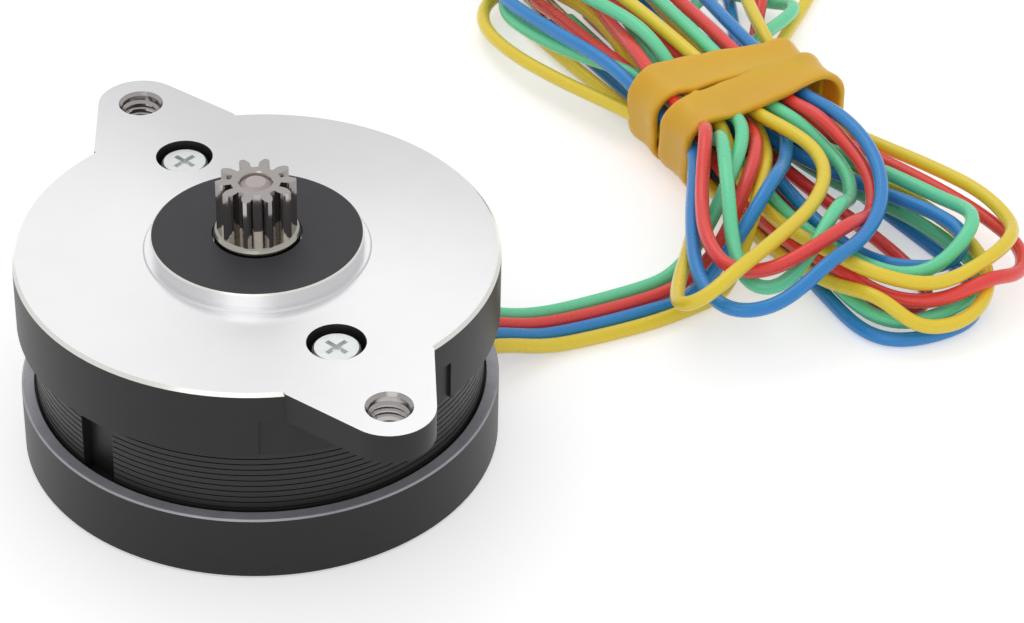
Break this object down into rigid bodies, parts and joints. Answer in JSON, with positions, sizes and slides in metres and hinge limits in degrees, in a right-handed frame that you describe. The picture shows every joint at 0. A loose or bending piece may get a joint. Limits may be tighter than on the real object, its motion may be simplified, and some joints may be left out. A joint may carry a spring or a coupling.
{
  "type": "pancake stepper motor",
  "caption": "Round flat hybrid stepper motor with an eared flange, pilot boss, small steel pinion and leads folded into a banded hank.",
  "frame": {"origin": "point where the shaft axis meets the rear face, with the motor standing on that face", "axes": "+Z along the shaft axis from the rear face to the pinion, +X along the line of the two ears, leads leave towards +Y"},
  "size_m": [0.0823, 0.0952, 0.0228],
  "materials": {
    "turned_face": "bare turned face with fine circular tool marks, satin on the skirt and boss",
    "black_case": "satin black-brown coating, bright machined rim",
    "core_steel": "dark oxidised laminated steel edges",
    "bobbin_plastic": "matt natural nylon",
    "copper_wire": "enamelled copper wire, packed",
    "shaft_steel": "ground shaft, chamfered end",
    "magnet": "dull plated magnet",
    "brass_spacer": "turned brass",
    "gear_steel": "hobbed bright steel with a light oil film",
    "bearing_steel": "ground and polished bearing steel",
    "cage_brass": "pressed cage",
    "spring_steel": "thin pressed steel",
    "screw_zinc": "bright zinc plating",
    "outlet_plastic": "moulded natural plastic",
    "green_pvc": "glossy extruded insulation",
    "red_pvc": "glossy extruded insulation",
    "blue_pvc": "glossy extruded insulation",
    "yellow_pvc": "glossy extruded insulation",
    "lead_insulation": "PVC insulation of the four folded leads",
    "amber_rubber": "translucent amber rubber",
    "tinned_copper": "twisted and tinned strands"
  },
  "bodies": {
    "stator": {"front_flange": "turned_face", "rear_cover": "black_case", "stator_core": "core_steel", "bobbin_front": "bobbin_plastic", "bobbin_rear": "bobbin_plastic", "winding_1": "copper_wire", "winding_2": "copper_wire", "winding_3": "copper_wire", "winding_4": "copper_wire", "winding_5": "copper_wire", "winding_6": "copper_wire", "winding_7": "copper_wire", "winding_8": "copper_wire", "front_bearing_outer": "bearing_steel", "front_bearing_shields": "spring_steel", "rear_bearing_outer": "bearing_steel", "rear_bearing_shields": "spring_steel", "wave_washer": "spring_steel", "case_screws": "screw_zinc", "lead_outlet": "outlet_plastic", "lead_green": "green_pvc", "lead_red": "red_pvc", "lead_blue": "blue_pvc", "lead_yellow": "yellow_pvc", "lead_hank": "lead_insulation", "rubber_band": "amber_rubber", "lead_tips": "tinned_copper"},
    "rotor": {"shaft": "shaft_steel", "rotor_cup_front": "core_steel", "rotor_magnet": "magnet", "rotor_cup_rear": "core_steel", "rotor_spacer_front": "brass_spacer", "rotor_spacer_rear": "brass_spacer", "pinion_collar": "gear_steel", "pinion_gear": "gear_steel", "front_bearing_inner": "bearing_steel", "rear_bearing_inner": "bearing_steel"},
    "front_ball_set": {"front_bearing_balls": "bearing_steel", "front_bearing_cage": "cage_brass"},
    "rear_ball_set": {"rear_bearing_balls": "bearing_steel", "rear_bearing_cage": "cage_brass"}
  },
  "joints": [
    {"name": "rotor_spin", "type": "hinge", "parent": "stator", "child": "rotor", "pos_m": [0, 0, 0.0208], "axis": [0, 0, 1], "continuous": true},
    {"name": "front_balls_orbit", "type": "hinge", "parent": "stator", "child": "front_ball_set", "pos_m": [0, 0, 0.0164], "axis": [0, 0, 1], "continuous": true},
    {"name": "rear_balls_orbit", "type": "hinge", "parent": "stator", "child": "rear_ball_set", "pos_m": [0, 0, 0.00235], "axis": [0, 0, 1], "continuous": true}
  ],
  "couplings": [
    {"joint": "front_balls_orbit", "follows": "rotor_spin", "ratio": 0.4077},
    {"joint": "rear_balls_orbit", "follows": "rotor_spin", "ratio": 0.4077}
  ]
}
